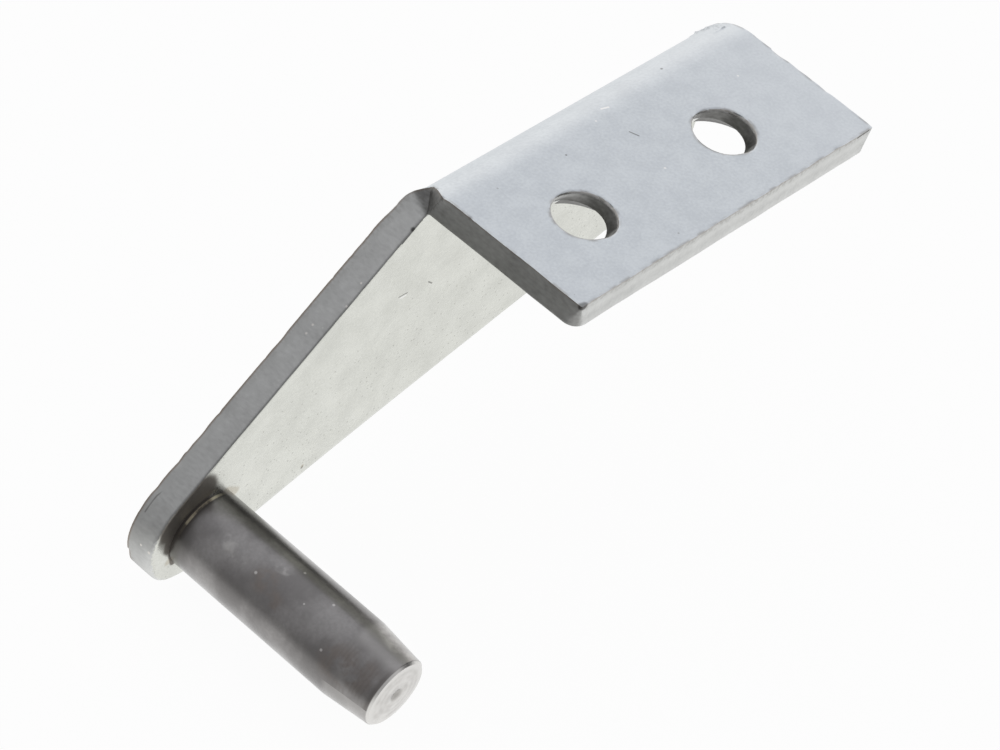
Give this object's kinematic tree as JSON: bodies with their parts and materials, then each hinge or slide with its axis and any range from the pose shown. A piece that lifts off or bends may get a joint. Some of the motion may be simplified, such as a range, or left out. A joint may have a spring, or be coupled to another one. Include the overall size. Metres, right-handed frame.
{
  "type": "oven door hinge",
  "caption": "Folded sheet steel bracket with a screw flange and a tapered arm that carries a riveted pivot pin, on which an oven door turns.",
  "frame": {"origin": "midway between the two screw holes, on the outer face of the flange that lies against the appliance or door", "axes": "+Z out of the flange's outer face, +X along the fold and away from the pin's end, +Y to the folded side; the pin points to -Y"},
  "size_m": [0.0688, 0.0273, 0.0352],
  "materials": {
    "plated_sheet_steel": "dull light grey plating on sheet steel, with darker sheared edges",
    "turned_steel": "turned steel, darkened and mottled, with a bright end face"
  },
  "bodies": {
    "root": {"bracket": "plated_sheet_steel", "hinge_pin": "turned_steel"}
  },
  "joints": []
}
